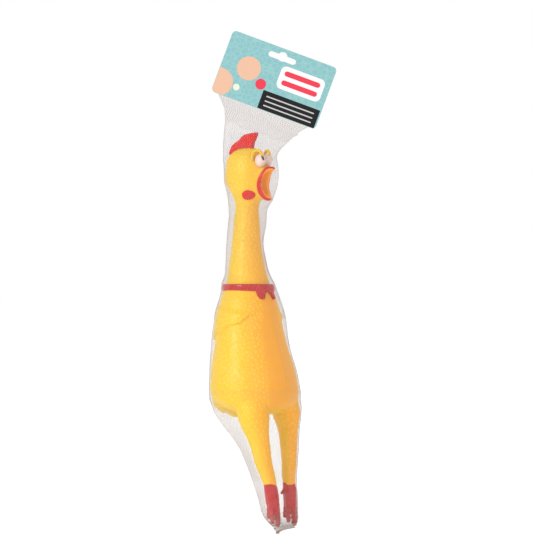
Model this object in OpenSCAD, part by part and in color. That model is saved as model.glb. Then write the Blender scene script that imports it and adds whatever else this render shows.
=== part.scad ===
// Squeeze-and-shriek rubber chicken in a net sleeve under a folded header card.
// Millimetres, +Z up. Origin: centre of the card's hang slot, between the two
// leaves. The card faces -Y. The chicken hangs head up and looks to +X and -Y.

/* [Header card] */
// Width of the header card
card_w = 114; // [110:1:118]
// Height of the folded card
card_h = 67; // [64:1:70]
// Tilt of the card, right end lower, in degrees
card_tilt = 20.3; // [20:0.1:20.6]
// Thickness of one leaf of card
leaf_t = 0.5; // [0.3:0.1:0.5]
// Radius of the card's corners
card_corner = 4.4; // [3:0.2:6]
// Overall length of the hang slot
slot_len = 30; // [26:1:32]
// Height of the hang slot's long part
slot_h = 6; // [5.6:0.2:6.4]
// Radius of the slot's round lobe
slot_lobe = 5; // [4.8:0.1:5.6]
// Slot centre below the card's top edge
slot_drop = 9.7; // [9:0.1:11]

/* [Chicken] */
// Angle of the body's forward direction from -Y towards +X
body_yaw = 50; // [45:1:55]
// Angle of the head's forward direction from -Y towards +X
head_yaw = 60; // [56:1:64]
// Wall of the moulded vinyl skin
skin_t = 2; // [1.6:0.1:2.2]
// Half the distance between the hip joints
hip_u = 26; // [25.5:0.1:26.5]
// Running gap in the flexing joints
joint_gap = 0.4; // [0.3:0.05:0.5]

/* [Noise maker] */
// Outer radius of the noise maker's barrel
barrel_r = 6.5; // [6.2:0.1:6.6]
// Bore radius of the barrel
barrel_bore = 5; // [4.8:0.1:5.2]
// Length of the barrel
barrel_len = 18; // [16:1:19]
// Thickness of the reed
reed_t = 0.4; // [0.3:0.05:0.5]

/* [Net sleeve] */
// Wall of the net sleeve
net_t = 0.5; // [0.4:0.1:0.6]
// Clearance between the skin and the net
net_gap = 1.2; // [1.1:0.1:1.4]

/* [Hidden] */

X0 = -36;          // neck axis
Y0 = 6;
N = 28;

// joint centres as [forward, left, depth below the slot]
J1 = [0, 0, 150];      R1 = 11.8;   // head and neck
J2 = [-1.2, 0, 190];   R2 = 14.7;   // middle of the neck
J3 = [0.8, 0, 231];    R3 = 21;     // neck and torso
JH = [30, hip_u, 364]; R4 = 15.2;   // hips
JA = [43.2, 15.4, 437]; R5 = 6.8;   // ankles
MZ = 129;                            // depth of the mouth and noise maker axis

// stations: [depth, forward, half width, half length front to back]
HEAD = [[91, -3, 5, 6], [94.8, -3.2, 11, 14], [101, -2.5, 14.5, 18.5],
        [107, -2, 16.5, 20], [113, -1, 17.5, 21], [119.5, -2, 18, 21],
        [126, -3, 18, 20.5], [132, -2, 17, 19], [138, 0, 15.5, 17],
        [144, 1, 13.5, 14.5], [150, 0, 11.2, 11.2]];
NECK = [[150, 0, 11.2, 11.2], [163, -0.8, 12.8, 12.8], [175, -0.8, 13.7, 13.7],
        [190, -1.2, 14.1, 14.1], [200, -1, 16.1, 15.9], [212, -0.7, 18, 17.7],
        [224, 0.2, 20.2, 19.8], [231, 0.8, 20.2, 20.2]];
TORSO = [[241, 1, 26.5, 25], [249, 1.5, 30, 26.8], [262, 3, 33.5, 29],
         [280, 3, 36.7, 32], [298, 6, 40, 35], [311, 6, 44, 38.5],
         [329, 9, 48, 41.6], [342, 9.8, 49.5, 43], [350, 11, 49, 42],
         [356, 15, 46, 37], [360, 20, 43, 30], [363, 24, 39, 23]];
// legs: [depth, forward, outward, half length of the long and short axes]
LEG = [[364, 30, 26, 14.4, 14.4], [372, 31, 26.3, 15.2, 13.4], [379, 32.4, 26, 14.4, 11.2],
       [398, 36.3, 22.9, 10.4, 8.6], [416, 39, 20.4, 8.8, 7.2], [429, 41.4, 16.8, 7.5, 6.8],
       [437, 43.2, 15.4, 6.2, 6.2]];
// net around the head: [left x, left z, right x, right z, half depth, y centre, turn]
NETH = [[-67, -44.6, 25, -78.6, 1, 0, 0], [-60, -53, 14, -80, 6, 1, 0.1],
        [-59, -67, 7, -87, 14, 1.5, 0.3], [-61, -84, 0, -95, 20, 2.5, 0.8],
        [-61.5, -99, -0.4, -101, 22, 3, 1], [-61.5, -113, 0.3, -113, 22.5, 3, 1],
        [-61, -126, -0.7, -126, 22.5, 3, 1], [-58, -138, -5, -138, 20, 4, 1],
        [-54.8, -146, -9, -146, 18.5, 4.6, 1]];

function col(T, k) = [for (s = T) [s[0], s[k]]];
function at(T, k, d) = lookup(d, col(T, k));
function avg(r) = [for (k = [0:2]) [for (p = r) p[k]] * [for (p = r) 1] / len(r)];
function cuts(T, d0, d1) = concat([d0], [for (s = T) if (s[0] > d0 + 0.05 && s[0] < d1 - 0.05) s[0]], [d1]);
// point of a station table at angle t and depth d, grown by g; local x is forward, y is left
function sp(T, t, d, g = 0) = [at(T, 1, d) + (at(T, 3, d) + g) * sin(t), (at(T, 2, d) + g) * cos(t), -d];
function loops(T, d0, d1, g = 0, n = N) = [for (d = cuts(T, d0, d1)) [for (i = [0:n - 1]) sp(T, 360 * i / n, d, g)]];
// leg rings; side is -1 for right, 1 for left; long axis leans out and forward
function lp(t, d, side, g = 0) = let (c = cos(body_yaw), s = sin(body_yaw),
      M = (at(LEG, 3, d) + g) * cos(t), m = (at(LEG, 4, d) + g) * sin(t))
      [at(LEG, 1, d) + M * s - m * c, side * (at(LEG, 2, d) - M * c - m * s), -d];
function legloops(d0, d1, side, g = 0, n = 24) = [for (d = cuts(LEG, d0, d1)) [for (i = [0:n - 1]) lp(side * 360 * i / n, d, side, g)]];

module in_body() translate([X0, Y0, 0]) rotate([0, 0, body_yaw - 90]) children();
module in_head() translate([X0, Y0, 0]) rotate([0, 0, head_yaw - 90]) children();
module in_card() rotate([0, card_tilt, 0]) children();
module along_f(f, z) translate([f, 0, z]) rotate([0, 90, 0]) children();

function turn(rings) = let (r = rings[0], n = len(r), c0 = avg(r), c1 = avg(rings[len(rings) - 1]))
      cross(r[0] - c0, r[floor(n / 4)] - c0) * (c1 - c0) > 0;

// closed solid through a list of rings
module skin(rings) {
  n = len(rings[0]); m = len(rings); f = turn(rings);
  pts = concat([for (r = rings) each r], [avg(rings[0]), avg(rings[m - 1])]);
  tri = concat(
    [for (j = [0:m - 2]) for (i = [0:n - 1]) let (a = j * n + i, b = j * n + (i + 1) % n) each [[a, b + n, b], [a, a + n, b + n]]],
    [for (i = [0:n - 1]) [n * m, i, (i + 1) % n]],
    [for (i = [0:n - 1]) [n * m + 1, (m - 1) * n + (i + 1) % n, (m - 1) * n + i]]);
  polyhedron(pts, f ? tri : [for (t = tri) [t[0], t[2], t[1]]]);
}

// open tube between two matching lists of rings
module sleeve(outer, inner) {
  n = len(outer[0]); m = len(outer); k = n * m; f = turn(outer);
  pts = concat([for (r = outer) each r], [for (r = inner) each r]);
  tri = concat(
    [for (j = [0:m - 2]) for (i = [0:n - 1]) let (a = j * n + i, b = j * n + (i + 1) % n)
      each [[a, b + n, b], [a, a + n, b + n], [k + a, k + b, k + b + n], [k + a, k + b + n, k + a + n]]],
    [for (i = [0:n - 1]) let (b = (i + 1) % n) each [[i, b, k + i], [b, k + b, k + i]]],
    [for (i = [0:n - 1]) let (a = (m - 1) * n + i, b = (m - 1) * n + (i + 1) % n) each [[a, k + a, b], [b, k + a, k + b]]]);
  polyhedron(pts, f ? tri : [for (t = tri) [t[0], t[2], t[1]]]);
}

// closed ring of round section round a mouth-shaped path
module ring_tube(path, r, k = 10) {
  n = len(path); c = avg(path);
  pts = [for (i = [0:n - 1]) let (t = path[(i + 1) % n] - path[(i + n - 1) % n], tt = t / norm(t),
          q = path[i] - c, q1 = q - tt * (q * tt), n1 = q1 / norm(q1), n2 = cross(tt, n1))
          for (j = [0:k - 1]) path[i] + r * (cos(360 * j / k) * n1 + sin(360 * j / k) * n2)];
  polyhedron(pts, [for (i = [0:n - 1]) for (j = [0:k - 1])
    let (a = i * k + j, b = i * k + (j + 1) % k, c = ((i + 1) % n) * k + (j + 1) % k, d = ((i + 1) % n) * k + j)
    each [[a, c, b], [a, d, c]]]);
}

// raised patch on a station table's surface: angles t0..t1, depths d0..d1, height h
module patch(T, t0, t1, d0, d1, h, base = 0.12, p = 14, q = 10, slope = 0) {
  function g(i, j) = base + 0.25 + h * pow(max(0, 1 - pow(2 * i / p - 1, 4)) * max(0, 1 - pow(2 * j / q - 1, 4)), 0.6);
  top = [for (i = [0:p]) for (j = [0:q]) sp(T, t0 + (t1 - t0) * i / p, d0 + (d1 - d0) * j / q + slope * (i / p - 0.5), g(i, j))];
  bot = [for (i = [0:p]) for (j = [0:q]) sp(T, t0 + (t1 - t0) * i / p, d0 + (d1 - d0) * j / q + slope * (i / p - 0.5), base)];
  w = q + 1; K = (p + 1) * w;
  edge = concat([for (j = [0:q - 1]) [j, j + 1]], [for (i = [0:p - 1]) [i * w + q, (i + 1) * w + q]],
                [for (j = [q:-1:1]) [p * w + j, p * w + j - 1]], [for (i = [p:-1:1]) [i * w, (i - 1) * w]]);
  tri = concat([for (i = [0:p - 1]) for (j = [0:q - 1]) let (a = i * w + j) each
                 [[a, a + w, a + w + 1], [a, a + w + 1, a + 1], [K + a, K + a + w + 1, K + a + w], [K + a, K + a + 1, K + a + w + 1]]],
               [for (e = edge) each [[e[0], e[1], K + e[1]], [e[0], K + e[1], K + e[0]]]]);
  polyhedron(concat(top, bot), t1 > t0 ? [for (t = tri) [t[0], t[2], t[1]]] : tri);
}

// ---------- header card ----------
module leaf2d() difference() {
  union() {
    translate([-card_w / 2 + card_corner, slot_drop - card_h]) square([card_w - 2 * card_corner, card_h]);
    translate([-card_w / 2, slot_drop - card_h + card_corner]) square([card_w, card_h - 2 * card_corner]);
    for (x = [-1, 1], z = [slot_drop - card_corner, slot_drop - card_h + card_corner])
      translate([x * (card_w / 2 - card_corner), z]) circle(card_corner, $fn = 48);
  }
  translate([-slot_len / 2 + slot_h / 2, -slot_h / 2]) square([slot_len - slot_h, slot_h]);
  for (x = [-1, 1]) translate([x * (slot_len - slot_h) / 2, 0]) circle(slot_h / 2, $fn = 48);
  translate([0, 1.2]) circle(slot_lobe, $fn = 64);
}
module header_card() color([0.55, 0.85, 0.85]) in_card() {
  union() {
    for (y = [-0.6, 0.6 + leaf_t]) translate([0, y, 0]) rotate([90, 0, 0]) linear_extrude(leaf_t) leaf2d();
    translate([-card_w / 2 + card_corner, -0.6, slot_drop - 0.5]) cube([card_w - 2 * card_corner, 1.2, 0.5]);
  }
}
module glue_strips() color([0.9, 0.9, 0.85]) in_card()
  for (y = [-0.6, 0.3]) translate([-50, y, slot_drop - card_h + 2]) cube([100, 0.3, 10]);
module net_header_hem() color([0.93, 0.9, 0.88]) in_card()
  translate([-50, -0.3, slot_drop - card_h]) cube([100, 0.6, 16]);

// ---------- head ----------
function mouth_ring(f, a, b, dip, lean = 2.3) = [for (i = [0:N - 1]) let (t = 360 * i / N) [f - dip * pow(sin(t), 2) + lean * cos(t), a * sin(t), -MZ - 0.5 + b * cos(t)]];
module throat(g) skin([mouth_ring(-6, 6.6 + g, 6.6 + g, 0, 0), mouth_ring(12, 6.6 + g, 6.6 + g, 0, 0), mouth_ring(18, 9.5 + g, 12.9 + g, 2), mouth_ring(30, 11 + g, 14.4 + g, 7)]);
module head_shell() color([1, 0.84, 0.25]) in_head() difference() {
  union() {
    skin(loops(HEAD, 91, 150));
    skin([mouth_ring(4, 14, 17, 0), mouth_ring(16, 13.2, 16.4, 2), mouth_ring(25.6, 12.4, 15.6, 7)]);
    translate([J1[0], 0, -J1[2]]) sphere(R1, $fn = 64);
  }
  skin(concat([[for (i = [0:N - 1]) sp(HEAD, 360 * i / N, 93, -3.2)]], loops(HEAD, 95, 149.5, -skin_t)));
  translate([J1[0], 0, -J1[2]]) sphere(R1 - skin_t, $fn = 64);
  throat(1.75);
  translate([J1[0], 0, -J1[2] - 20]) cylinder(r = 4, h = 20, $fn = 48);
}
module mouth_lining() color([1, 0.6, 0.1]) in_head() {
  o = [mouth_ring(8, 8, 8, 0, 0), mouth_ring(12.4, 8, 8, 0, 0), mouth_ring(18, 10.8, 14.2, 2), mouth_ring(25.3, 11.9, 15.1, 7)];
  i = [mouth_ring(8, barrel_r + 0.12, barrel_r + 0.12, 0, 0), mouth_ring(13.4, barrel_r + 0.12, barrel_r + 0.12, 0, 0), mouth_ring(18, 9.6, 12.9, 2), mouth_ring(25.3, 10.6, 13.9, 7)];
  sleeve(o, i);
}
module beak_lips() color([0.88, 0.12, 0.15]) in_head()
  ring_tube([for (i = [0:35]) let (t = 10 * i) [28.4 - 7 * pow(sin(t), 2) + 2.3 * cos(t), 12 * sin(t), -MZ - 0.5 + 15.6 * cos(t)]], 2.2);
module comb() color([0.88, 0.1, 0.14]) in_head() difference() {
  rotate([90, 0, 0]) translate([0, 0, -3.2]) linear_extrude(6.4)
    polygon([[-21.5, -102], [-17.8, -89.6], [-10.2, -84.3], [-2.7, -78], [8, -76.2], [13, -77.3], [11.5, -83], [8, -87.6], [7.3, -95], [-4, -97], [-13, -100]]);
  skin([for (s = HEAD) if (s[0] < 120) [for (i = [0:N - 1]) sp(HEAD, 360 * i / N, s[0], 0.15)]]);
}
module wattle_patches() color([0.88, 0.12, 0.15]) in_head() {
  patch(HEAD, 188, 141, 132, 143, 1);
  patch(HEAD, -8, 39, 132, 143, 1);
}
EYE = [18.8, 7.2, -106.5];
module eyeballs() color([0.97, 0.9, 0.88]) in_head() for (s = [-1, 1]) difference() {
  translate([EYE[0], s * EYE[1], EYE[2]]) sphere(6, $fn = 48);
  skin([for (d = [95, 101, 107, 113, 119]) [for (i = [0:N - 1]) sp(HEAD, 360 * i / N, d, 0.15)]]);
  translate([0, s > 0 ? -10 : -0.1, -120]) cube([40, 10.1, 30]);
}
module pupils() color([0.04, 0.04, 0.04]) in_head() for (s = [-1, 1])
  translate([EYE[0], s * EYE[1], EYE[2]]) rotate([0, -22, s * 28]) translate([6.05, 0, 0]) rotate([0, 90, 0]) cylinder(r = 1.9, h = 0.4, $fn = 32);
module brow_ridges() color([1, 0.84, 0.25]) in_head() for (s = [-1, 1]) difference() {
  translate([EYE[0] - 0.5, s * EYE[1], EYE[2] + 1.6]) rotate([90 - s * 14, 12, 0]) rotate([0, 0, 30]) rotate_extrude(angle = 140, $fn = 48) translate([7.6, 0]) circle(1.3, $fn = 24);
  skin([for (d = [92.5, 95, 101, 107, 113, 119]) [for (i = [0:N - 1]) sp(HEAD, 360 * i / N, d, 0.15)]]);
  translate([0, s > 0 ? -10 : -0.1, -120]) cube([40, 10.1, 40]);
}

// ---------- noise maker ----------
module noise_maker_barrel() color([0.95, 0.95, 0.92]) in_head() along_f(-6, -MZ - 0.5) difference() {
  cylinder(r = barrel_r, h = barrel_len, $fn = 64);
  translate([0, 0, -1]) cylinder(r = barrel_bore, h = barrel_len + 2, $fn = 64);
}
module noise_maker_flange() color([0.95, 0.95, 0.92]) in_head() along_f(barrel_len - 6, -MZ - 0.5) difference() {
  cylinder(r = barrel_r, h = 1.2, $fn = 64);
  for (a = [0:60:300]) rotate([0, 0, a]) translate([3.4, 0, -1]) cylinder(r = 1.1, h = 4, $fn = 24);
  translate([0, 0, -1]) cylinder(r = 1.1, h = 4, $fn = 24);
}
// half-round trough that the reed beats on
module reed_seat() color([0.9, 0.9, 0.88]) in_head() along_f(-4, -MZ - 0.5) difference() {
  cylinder(r = 3.6, h = 15, $fn = 48);
  translate([-8.2, -6, -1]) cube([8, 12, 20]);
  translate([0, 0, 3]) cylinder(r = 2.3, h = 13, $fn = 48);
}
module reed() color([0.85, 0.8, 0.6]) in_head() translate([-4, -2.9, -MZ + 0.4]) cube([14.5, 5.8, reed_t]);
module reed_wedge() color([0.9, 0.9, 0.88]) in_head() along_f(-4, -MZ - 0.5) difference() {
  cylinder(r = barrel_bore - 0.02, h = 3.5, $fn = 48);
  translate([-1.7, -3.2, -1]) cube([1.6, 6.4, 6]);
  intersection() {
    translate([0, 0, -1]) cylinder(r = 3.62, h = 6, $fn = 48);
    translate([-0.22, -6, -1]) cube([8, 12, 6]);
  }
}

// ---------- neck ----------
module ball(J, R) translate([J[0], J[1], -J[2]]) sphere(R, $fn = 64);
module neck_upper() color([1, 0.84, 0.25]) in_body() difference() {
  union() { skin(loops(NECK, 150 + R1 / 2, 190)); ball(J2, R2); }
  skin(loops(NECK, 150, 189.5, -skin_t));
  ball(J1, R1 + joint_gap);
  ball(J2, R2 - skin_t);
  translate([J2[0], 0, -J2[2] - 20]) cylinder(r = 5, h = 20, $fn = 48);
}
module neck_lower() color([1, 0.84, 0.25]) in_body() difference() {
  union() { skin(loops(NECK, 190 + R2 / 2, 231)); ball(J3, R3); }
  skin(loops(NECK, 190, 230.5, -skin_t));
  ball(J2, R2 + joint_gap);
  ball(J3, R3 - skin_t);
  translate([J3[0], 0, -J3[2] - 30]) cylinder(r = 7, h = 30, $fn = 48);
}

// ---------- torso ----------
BD = 320; BR = 14;
module torso_solid() difference() {
  skin(loops(TORSO, 241.5, 363));
  skin(concat([[for (i = [0:N - 1]) sp(TORSO, 360 * i / N, 241.4, -6)]], loops(TORSO, 244, 356, -skin_t), [[for (i = [0:N - 1]) sp(TORSO, 360 * i / N, 360, -4)]]));
}
module torso_shell() color([1, 0.82, 0.25]) in_body() difference() {
  torso_solid();
  ball(J3, R3 + joint_gap);
  for (s = [-1, 1]) translate([JH[0], s * JH[1], -JH[2]]) sphere(R4 + joint_gap, $fn = 64);
  along_f(20, -BD) cylinder(r = BR + 0.4, h = 60, $fn = 64);
  // relief in the lower lip for a thigh swung fully forward
  for (s = [-1, 1]) translate([JH[0], s * JH[1], -JH[2]]) rotate([0, -30, 0]) translate([-JH[0], -s * JH[1], JH[2]])
    skin(legloops(364.5, 380, s, 0.4));
}
module belly_panel() color([1, 0.72, 0.25]) in_body() intersection() {
  torso_solid();
  along_f(20, -BD) cylinder(r = BR, h = 60, $fn = 64);
}
module collar_band() color([0.7, 0.08, 0.16]) in_body() sleeve(
  [for (d = [232.5, 234, 239, 240.8]) [for (i = [0:N - 1]) let (t = 360 * i / N, g = d == 234 || d == 239 ? 1.2 : 0.4) [0.9 + (25.4 + g) * sin(t), (25.8 + g) * cos(t), -d]]],
  [for (d = [232.5, 234, 239, 240.8]) [for (i = [0:N - 1]) let (t = 360 * i / N) [0.9 + 23.8 * sin(t), 24.2 * cos(t), -d]]]);
module bow_tie() color([0.7, 0.08, 0.16]) in_body() translate([27.6, 0, -238]) {
  rotate([0, 90, 0]) translate([0, 0, 0]) cylinder(r = 3.6, h = 3.4, $fn = 40);
  for (s = [-1, 1]) rotate([s * 24, 0, 0]) translate([0.4, 0, 0]) rotate([90, 0, 90]) linear_extrude(2.4)
    polygon([[s * 3.9, 2.4], [s * 12, 5.4], [s * 13, -4.5], [s * 3.9, -2.4]]);
}
module wing_right() color([1, 0.84, 0.25]) in_body() patch(TORSO, 236, 160, 258, 290, 2.2, slope = -10);
module wing_left() color([1, 0.84, 0.25]) in_body() patch(TORSO, -56, 20, 258, 290, 2.2, slope = -10);
module tail() color([1, 0.84, 0.25]) in_body() patch(TORSO, 252, 288, 344, 358, 4.5, p = 10, q = 7);

// ---------- legs and feet ----------
module leg(s) color([1, 0.84, 0.25]) in_body() difference() {
  union() {
    skin(legloops(364, 437, s));
    translate([JH[0], s * JH[1], -JH[2]]) sphere(R4, $fn = 64);
    translate([JA[0], s * JA[1], -JA[2]]) sphere(R5, $fn = 48);
  }
  skin(legloops(364.5, 436.5, s, -skin_t));
  translate([JH[0], s * JH[1], -JH[2]]) sphere(R4 - skin_t, $fn = 64);
  translate([JH[0], s * JH[1], -JH[2]]) cylinder(r = 5, h = 20, $fn = 48);
}
module leg_right() leg(-1);
module leg_left() leg(1);
module toe(a, b, ra, rb) hull() { translate(a) sphere(ra, $fn = 20); translate(b) sphere(rb, $fn = 20); }
module foot(s) color([0.72, 0.09, 0.17]) in_body() difference() {
  union() {
    skin([for (r = [[440.6, 43.4, 15.3, 6.9, 6.9], [447, 44, 15, 7, 6.6], [455, 45, 14.4, 7.6, 6.6], [462, 45.5, 13.8, 7.2, 5.6], [466, 45.5, 13.6, 5.4, 4]])
      [for (i = [0:23]) [r[1] + r[4] * sin(15 * i), s * (r[2] + r[3] * cos(15 * i)), -r[0]]]]);
    toe([46, s * 18.4, -458], [45, s * 17.2, -475], 3, 2.4);
    toe([48, s * 13.8, -458], [47.5, s * 13, -479.5], 3, 2.4);
    toe([46, s * 9.4, -458], [45, s * 8.2, -476], 3, 2.4);
    toe([41.5, s * 13.8, -456], [39.5, s * 13, -470], 2.8, 2.2);
  }
  translate([JA[0], s * JA[1], -JA[2]]) sphere(R5 + joint_gap, $fn = 48);
}
module foot_right() foot(-1);
module foot_left() foot(1);

// ---------- net ----------
function netring(r, g) = let (w = (r[2] - r[0]) / 2 + g, B = r[4] + g, q = 30 * r[6], A = sqrt(w * w - pow(B * sin(q), 2)) / cos(q),
      cx = (r[0] + r[2]) / 2, cz = (r[1] + r[3]) / 2, k = (r[3] - r[1]) / (r[2] - r[0]))
      [for (i = [0:N - 1]) let (t = 360 * i / N, x = A * cos(q) * cos(t) + B * sin(q) * sin(t))
        [cx + x, r[5] - A * sin(q) * cos(t) + B * cos(q) * sin(t), cz + k * x]];
module net_head_sleeve() color([0.93, 0.9, 0.88, 0.5])
  sleeve([for (r = NETH) netring(r, 0)], [for (r = NETH) netring(r, -net_t)]);
module net_band(T, d0, d1) sleeve(loops(T, d0, d1, net_gap + net_t), loops(T, d0, d1, net_gap));
module net_neck_upper() color([0.93, 0.9, 0.88, 0.5]) in_body() net_band(NECK, 159, 184);
module net_neck_lower() color([0.93, 0.9, 0.88, 0.5]) in_body() net_band(NECK, 200, 218);
module net_body_sleeve() color([0.93, 0.9, 0.88, 0.5]) in_body()
  sleeve(loops(TORSO, 246, 343, 2.9 + net_t), loops(TORSO, 246, 343, 2.9));
function bag(d, f, a, b, g) = [for (i = [0:N - 1]) let (t = 360 * i / N) [f + (b + g) * sin(t), (a + g) * cos(t), -d]];
LEGBAG = [[378.5, 32.1, 43, 20.8], [388, 34, 39.5, 18.2], [398, 36, 36.8, 16.4], [416, 39, 32, 14.4], [428, 41.2, 27.6, 12.6]];
FOOTBAG = [[445, 44, 25, 9.6], [460, 45, 25, 10.4], [472, 45, 23.5, 10.2], [480.5, 45.5, 19, 8.5]];
module net_leg_sleeve() color([0.93, 0.9, 0.88, 0.5]) in_body()
  sleeve([for (r = LEGBAG) bag(r[0], r[1], r[2], r[3], net_t)], [for (r = LEGBAG) bag(r[0], r[1], r[2], r[3], 0)]);
module net_foot_sleeve() color([0.93, 0.9, 0.88, 0.5]) in_body()
  sleeve([for (r = FOOTBAG) bag(r[0], r[1], r[2], r[3], net_t)], [for (r = FOOTBAG) bag(r[0], r[1], r[2], r[3], 0)]);
module net_end_seal() color([0.9, 0.88, 0.86]) in_body()
  skin([bag(482.7, 45.6, 17, 7, 0), bag(484.5, 45.6, 6, 4, 0), bag(487, 45.4, 3.4, 2.6, 0), bag(489, 45.2, 4.2, 3, 0)]);

header_card();
glue_strips();
net_header_hem();
net_head_sleeve();
head_shell();
comb();
wattle_patches();
brow_ridges();
eyeballs();
pupils();
beak_lips();
mouth_lining();
noise_maker_barrel();
noise_maker_flange();
reed_seat();
reed_wedge();
reed();
neck_upper();
neck_lower();
torso_shell();
belly_panel();
collar_band();
bow_tie();
wing_right();
wing_left();
tail();
leg_right();
leg_left();
foot_right();
foot_left();
net_neck_upper();
net_neck_lower();
net_body_sleeve();
net_leg_sleeve();
net_foot_sleeve();
net_end_seal();
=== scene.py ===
import math
import bmesh
import bpy
import numpy as np
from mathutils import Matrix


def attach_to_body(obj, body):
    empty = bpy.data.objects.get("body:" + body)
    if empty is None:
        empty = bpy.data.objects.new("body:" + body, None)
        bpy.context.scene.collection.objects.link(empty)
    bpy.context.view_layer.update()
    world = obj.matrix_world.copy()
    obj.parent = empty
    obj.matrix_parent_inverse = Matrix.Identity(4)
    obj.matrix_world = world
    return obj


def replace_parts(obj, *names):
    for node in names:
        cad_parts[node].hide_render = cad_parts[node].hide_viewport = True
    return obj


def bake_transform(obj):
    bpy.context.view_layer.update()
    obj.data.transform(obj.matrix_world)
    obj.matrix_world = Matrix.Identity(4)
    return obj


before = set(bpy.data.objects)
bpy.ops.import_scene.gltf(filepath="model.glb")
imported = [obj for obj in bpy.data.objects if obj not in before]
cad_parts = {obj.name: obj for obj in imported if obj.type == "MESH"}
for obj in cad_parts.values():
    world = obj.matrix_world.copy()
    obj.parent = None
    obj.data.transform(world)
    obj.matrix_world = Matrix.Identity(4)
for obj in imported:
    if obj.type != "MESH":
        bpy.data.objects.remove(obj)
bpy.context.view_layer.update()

import openvdb as vdb
from mathutils import Vector
from mathutils.bvhtree import BVHTree
from mathutils.kdtree import KDTree

scene = bpy.context.scene
rng = np.random.default_rng(7)

# ------------------------------------------------------------------ the frame
# All shapes are worked out in millimetres in the row frame, and scaled on the way into Blender.
X0, Y0 = -36.0, 6.0
BYAW, HYAW = math.radians(50), math.radians(60)
HEAD = np.array([[92.6, 1.6, 1, 1], [93.2, 1.4, 6, 7.5], [94.4, 0.8, 9, 11.5], [97.6, -0.6, 12.6, 15.4], [101.4, -1.8, 15, 18.2],
                 [107, -2.0, 16.8, 20.4], [113, -1.4, 17.6, 21.4], [119.5, -2.2, 18, 21.6], [126, -2.8, 18, 21],
                 [132, -2, 17, 19.4], [138, -0.6, 15.4, 17], [144, 0.2, 13.6, 14.6], [150, 0.2, 12.2, 12.6],
                 [156, 0, 11.9, 12], [163, -0.6, 12.6, 12.8], [175, -0.8, 13.6, 13.8]])
NECK = np.array([[140, 0, 12.5, 13], [150, 0.2, 11.7, 11.9], [156, -0.2, 11.9, 12], [163, -0.8, 12.7, 12.8], [175, -0.8, 13.7, 13.8],
                 [190, -1.2, 14.8, 14.9], [200, -1, 16.1, 16.1], [212, -0.7, 18, 18], [224, 0.2, 20.2, 20.2],
                 [231, 0.8, 22.4, 21.8], [236, 1, 24.6, 23.4], [241, 1.1, 27, 25], [249, 1.5, 30.5, 27]])
TORSO = np.array([[232, 1, 22.8, 22], [236, 1, 24.6, 23.4], [241, 1.1, 27, 25], [249, 1.8, 30.5, 27], [262, 3, 34, 29.6], [280, 3.4, 37.2, 32.4],
                  [298, 5.4, 40.4, 35.4], [311, 6.6, 43.8, 38.4], [329, 8.8, 47.6, 41.6], [342, 9.8, 48.8, 42.6],
                  [350, 11, 48, 40.6], [355, 13, 45.6, 37], [359, 16, 42, 31.5], [362, 19, 38, 25.5], [364.5, 22, 32, 18], [366, 24, 22, 10], [366.6, 24, 4, 3]])
LEG = np.array([[340, 24, 24, 14, 14], [352, 27, 25.2, 16, 15], [364, 30, 26, 16.4, 14.6], [372, 31, 26.2, 15.8, 13], [379, 32.4, 26, 14.2, 11.2],
                [388, 34.4, 24.6, 12, 9.6], [398, 36.3, 22.9, 10.4, 8.8], [416, 39, 20.4, 8.9, 7.6], [429, 41.4, 16.8, 7.8, 6.9],
                [437, 43.2, 15.4, 6.9, 6.4], [446, 44.6, 14.6, 5, 5]])


def pchip(T, k):
    """Smooth interpolation of a station table's column k against depth, with no overshoot."""
    x, y = T[:, 0], T[:, k]
    h, d = np.diff(x), np.diff(y) / np.diff(x)
    m = np.zeros_like(y)
    s = np.sign(d[:-1]) * np.sign(d[1:]) > 0
    w1, w2 = 2 * h[1:] + h[:-1], h[1:] + 2 * h[:-1]
    with np.errstate(divide="ignore", invalid="ignore"):
        m[1:-1] = np.where(s, (w1 + w2) / (w1 / d[:-1] + w2 / d[1:]), 0)
    m[0], m[-1] = d[0], d[-1]

    def f(q):
        q = np.clip(q, x[0], x[-1])
        i = np.clip(np.searchsorted(x, q, side="right") - 1, 0, len(x) - 2)
        t = (q - x[i]) / h[i]
        return (y[i] * (1 + 2 * t) * (1 - t) ** 2 + y[i + 1] * t * t * (3 - 2 * t)
                + h[i] * (m[i] * t * (1 - t) ** 2 + m[i + 1] * t * t * (t - 1)))

    return f


HF = [pchip(HEAD, k) for k in (1, 2, 3)]
NF = [pchip(NECK, k) for k in (1, 2, 3)]
TF = [pchip(TORSO, k) for k in (1, 2, 3)]
LF = [pchip(LEG, k) for k in (1, 2, 3, 4)]


def to_local(x, y, yaw):
    dx, dy = x - X0, y - Y0
    return dx * math.sin(yaw) - dy * math.cos(yaw), dx * math.cos(yaw) + dy * math.sin(yaw)


def to_world(f, u, yaw):
    return X0 + f * math.sin(yaw) + u * math.cos(yaw), Y0 - f * math.cos(yaw) + u * math.sin(yaw)


def W(f, u, z, yaw=BYAW):
    x, y = to_world(f, u, yaw)
    return np.stack(np.broadcast_arrays(x, y, z), -1).astype(float)


def smin(a, b, k):
    h = np.clip(0.5 + 0.5 * (b - a) / k, 0, 1)
    return b + (a - b) * h - k * h * (1 - h)


def smax(a, b, k):
    return -smin(-a, -b, k)


def step(a, b, v):
    t = np.clip((v - a) / (b - a), 0, 1)
    return t * t * (3 - 2 * t)


def ell(f, u, fc, a, b):
    q = np.sqrt(((f - fc) / b) ** 2 + (u / a) ** 2) + 1e-4
    g = np.sqrt(((f - fc) / b**2) ** 2 + (u / a**2) ** 2) + 1e-4 / max(a, b)
    return q * (q - 1) / g


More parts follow.
